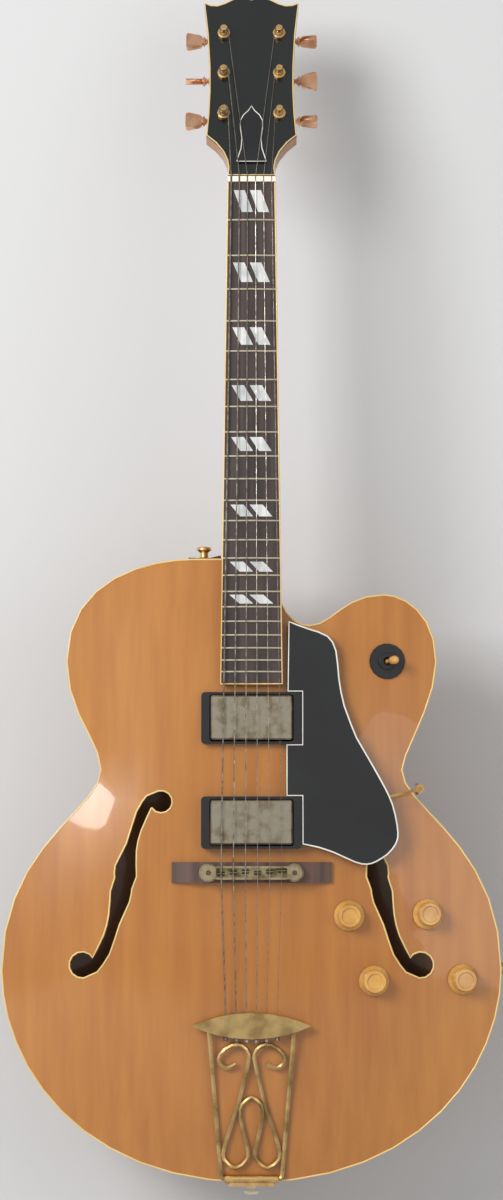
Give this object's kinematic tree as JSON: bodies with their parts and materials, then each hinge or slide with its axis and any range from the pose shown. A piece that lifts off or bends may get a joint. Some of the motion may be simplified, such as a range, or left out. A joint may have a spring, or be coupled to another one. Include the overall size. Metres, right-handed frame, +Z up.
{
  "type": "thinline hollow electric guitar",
  "caption": "Amber thinline hollow electric guitar with a round cutaway, f-holes, trapeze tailpiece, adjustable bridge, geared tuners and turning knobs.",
  "frame": {"origin": "where the fork of a hanger holds the neck, between nut and headstock", "axes": "+Z up along the neck to the headstock, -Y out of the front of the body, +X to the treble side"},
  "size_m": [0.4355, 0.1247, 1.0588],
  "materials": {
    "aged_nickel": "tarnished nickel plate",
    "amber_maple": "clear amber lacquer",
    "amber_plastic": "amber",
    "black_gloss": "black lacquer",
    "black_plastic": "black",
    "bone": "ivory",
    "gold": "gold plate",
    "neck_maple": "clear lacquer",
    "old_gold": "worn gold plate",
    "rosewood": "oiled",
    "steel": "bright"
  },
  "bodies": {
    "guitar": {"top_plate": "amber_maple", "back_plate": "amber_maple", "rim": "amber_maple", "neck": "neck_maple", "truss_rod": "steel", "fingerboard": "rosewood", "nut": "bone", "headstock_face": "black_gloss", "truss_cover": "black_plastic", "tuner_housing_1": "gold", "tuner_housing_2": "gold", "tuner_housing_3": "gold", "tuner_housing_4": "gold", "tuner_housing_5": "gold", "tuner_housing_6": "gold", "string_1": "steel", "string_2": "steel", "string_3": "steel", "string_4": "steel", "string_5": "steel", "string_6": "steel", "bridge_base": "rosewood", "pickup_ring_neck": "black_plastic", "pickup_ring_bridge": "black_plastic", "tailpiece_hinge": "gold", "pickguard": "black_plastic", "pickguard_bracket": "gold", "switch_body": "black_plastic", "end_pin": "bone", "strap_button": "gold", "output_jack": "aged_nickel"},
    "button_1": {"tuner_button_1": "gold"},
    "post_1": {"tuner_post_1": "gold"},
    "button_2": {"tuner_button_2": "gold"},
    "post_2": {"tuner_post_2": "gold"},
    "button_3": {"tuner_button_3": "gold"},
    "post_3": {"tuner_post_3": "gold"},
    "button_4": {"tuner_button_4": "gold"},
    "post_4": {"tuner_post_4": "gold"},
    "button_5": {"tuner_button_5": "gold"},
    "post_5": {"tuner_post_5": "gold"},
    "button_6": {"tuner_button_6": "gold"},
    "post_6": {"tuner_post_6": "gold"},
    "bridge": {"bridge_body": "old_gold"},
    "wheel_bass": {"thumbwheel_bass": "aged_nickel"},
    "wheel_treble": {"thumbwheel_treble": "aged_nickel"},
    "saddle_1_body": {"saddle_1": "aged_nickel"},
    "saddle_2_body": {"saddle_2": "aged_nickel"},
    "saddle_3_body": {"saddle_3": "aged_nickel"},
    "saddle_4_body": {"saddle_4": "aged_nickel"},
    "saddle_5_body": {"saddle_5": "aged_nickel"},
    "saddle_6_body": {"saddle_6": "aged_nickel"},
    "neck_pickup": {"pickup_neck": "aged_nickel"},
    "bridge_pickup": {"pickup_bridge": "aged_nickel"},
    "knob_1_body": {"knob_1": "amber_plastic"},
    "knob_2_body": {"knob_2": "amber_plastic"},
    "knob_3_body": {"knob_3": "amber_plastic"},
    "knob_4_body": {"knob_4": "amber_plastic"},
    "switch": {"switch_lever": "amber_plastic"},
    "tail": {"tailpiece": "gold"}
  },
  "joints": [
    {"name": "button_1_turn", "type": "hinge", "parent": "guitar", "child": "button_1", "pos_m": [-0.0246, 0.02839, 0.0401], "axis": [-1, 0, 0], "continuous": true},
    {"name": "post_1_turn", "type": "hinge", "parent": "guitar", "child": "post_1", "pos_m": [-0.0246, 0.00669, 0.04287], "axis": [0, -0.9367, 0.3502], "continuous": true},
    {"name": "button_2_turn", "type": "hinge", "parent": "guitar", "child": "button_2", "pos_m": [-0.0246, 0.04292, 0.07897], "axis": [-1, 0, 0], "continuous": true},
    {"name": "post_2_turn", "type": "hinge", "parent": "guitar", "child": "post_2", "pos_m": [-0.0246, 0.02122, 0.08174], "axis": [0, -0.9367, 0.3502], "continuous": true},
    {"name": "button_3_turn", "type": "hinge", "parent": "guitar", "child": "button_3", "pos_m": [-0.0246, 0.05746, 0.11784], "axis": [-1, 0, 0], "continuous": true},
    {"name": "post_3_turn", "type": "hinge", "parent": "guitar", "child": "post_3", "pos_m": [-0.0246, 0.03576, 0.12062], "axis": [0, -0.9367, 0.3502], "continuous": true},
    {"name": "button_4_turn", "type": "hinge", "parent": "guitar", "child": "button_4", "pos_m": [0.0246, 0.05746, 0.11784], "axis": [1, 0, 0], "continuous": true},
    {"name": "post_4_turn", "type": "hinge", "parent": "guitar", "child": "post_4", "pos_m": [0.0246, 0.03576, 0.12062], "axis": [0, -0.9367, 0.3502], "continuous": true},
    {"name": "button_5_turn", "type": "hinge", "parent": "guitar", "child": "button_5", "pos_m": [0.0246, 0.04292, 0.07897], "axis": [1, 0, 0], "continuous": true},
    {"name": "post_5_turn", "type": "hinge", "parent": "guitar", "child": "post_5", "pos_m": [0.0246, 0.02122, 0.08174], "axis": [0, -0.9367, 0.3502], "continuous": true},
    {"name": "button_6_turn", "type": "hinge", "parent": "guitar", "child": "button_6", "pos_m": [0.0246, 0.02839, 0.0401], "axis": [1, 0, 0], "continuous": true},
    {"name": "post_6_turn", "type": "hinge", "parent": "guitar", "child": "post_6", "pos_m": [0.0246, 0.00669, 0.04287], "axis": [0, -0.9367, 0.3502], "continuous": true},
    {"name": "bridge_height", "type": "slide", "parent": "guitar", "child": "bridge", "axis": [0, 1, 0], "range_m": [0, 0.0014]},
    {"name": "wheel_bass_turn", "type": "hinge", "parent": "bridge", "child": "wheel_bass", "pos_m": [-0.0369, -0.0487, -0.62324], "axis": [0, -1, 0], "range_deg": [0, 640]},
    {"name": "wheel_treble_turn", "type": "hinge", "parent": "bridge", "child": "wheel_treble", "pos_m": [0.0369, -0.0487, -0.62324], "axis": [0, -1, 0], "range_deg": [0, 640]},
    {"name": "saddle_1_slide", "type": "slide", "parent": "bridge", "child": "saddle_1_body", "axis": [0, 0, 1], "range_m": [-0.00143, 0.00277]},
    {"name": "saddle_2_slide", "type": "slide", "parent": "bridge", "child": "saddle_2_body", "axis": [0, 0, 1], "range_m": [-0.00227, 0.00193]},
    {"name": "saddle_3_slide", "type": "slide", "parent": "bridge", "child": "saddle_3_body", "axis": [0, 0, 1], "range_m": [-0.00309, 0.00111]},
    {"name": "saddle_4_slide", "type": "slide", "parent": "bridge", "child": "saddle_4_body", "axis": [0, 0, 1], "range_m": [-0.0021, 0.0021]},
    {"name": "saddle_5_slide", "type": "slide", "parent": "bridge", "child": "saddle_5_body", "axis": [0, 0, 1], "range_m": [-0.00307, 0.00113]},
    {"name": "saddle_6_slide", "type": "slide", "parent": "bridge", "child": "saddle_6_body", "axis": [0, 0, 1], "range_m": [-0.00403, 0.00017]},
    {"name": "neck_pickup_height", "type": "slide", "parent": "guitar", "child": "neck_pickup", "axis": [0, -0.9978, 0.0657], "range_m": [-0.002, 0.001]},
    {"name": "bridge_pickup_height", "type": "slide", "parent": "guitar", "child": "bridge_pickup", "axis": [0, -0.9978, 0.0657], "range_m": [-0.002, 0.001]},
    {"name": "knob_1_turn", "type": "hinge", "parent": "guitar", "child": "knob_1_body", "pos_m": [0.08371, -0.03757, -0.66034], "axis": [0.0334, -0.9994, 0.0068], "range_deg": [0, 280]},
    {"name": "knob_2_turn", "type": "hinge", "parent": "guitar", "child": "knob_2_body", "pos_m": [0.15134, -0.032, -0.65933], "axis": [0.1354, -0.99, 0.0386], "range_deg": [0, 280]},
    {"name": "knob_3_turn", "type": "hinge", "parent": "guitar", "child": "knob_3_body", "pos_m": [0.10502, -0.03657, -0.71605], "axis": [0.0534, -0.9985, -0.0148], "range_deg": [0, 280]},
    {"name": "knob_4_turn", "type": "hinge", "parent": "guitar", "child": "knob_4_body", "pos_m": [0.18145, -0.02827, -0.71515], "axis": [0.1588, -0.9872, -0.0133], "range_deg": [0, 280]},
    {"name": "switch_throw", "type": "hinge", "parent": "guitar", "child": "switch", "pos_m": [0.11733, -0.02634, -0.44152], "axis": [0, -0.0463, -0.9989], "range_deg": [0, 34]},
    {"name": "tailpiece_swing", "type": "hinge", "parent": "guitar", "child": "tail", "pos_m": [0, -0.02751, -0.88554], "axis": [1, 0, 0], "range_deg": [-0.15, 0.15]}
  ],
  "couplings": [
    {"joint": "post_1_turn", "follows": "button_1_turn", "ratio": -0.071429},
    {"joint": "post_2_turn", "follows": "button_2_turn", "ratio": -0.071429},
    {"joint": "post_3_turn", "follows": "button_3_turn", "ratio": -0.071429},
    {"joint": "post_4_turn", "follows": "button_4_turn", "ratio": 0.071429},
    {"joint": "post_5_turn", "follows": "button_5_turn", "ratio": 0.071429},
    {"joint": "post_6_turn", "follows": "button_6_turn", "ratio": 0.071429},
    {"joint": "wheel_bass_turn", "follows": "bridge_height", "rad_per_m": 7913},
    {"joint": "wheel_treble_turn", "follows": "bridge_height", "rad_per_m": 7913}
  ]
}
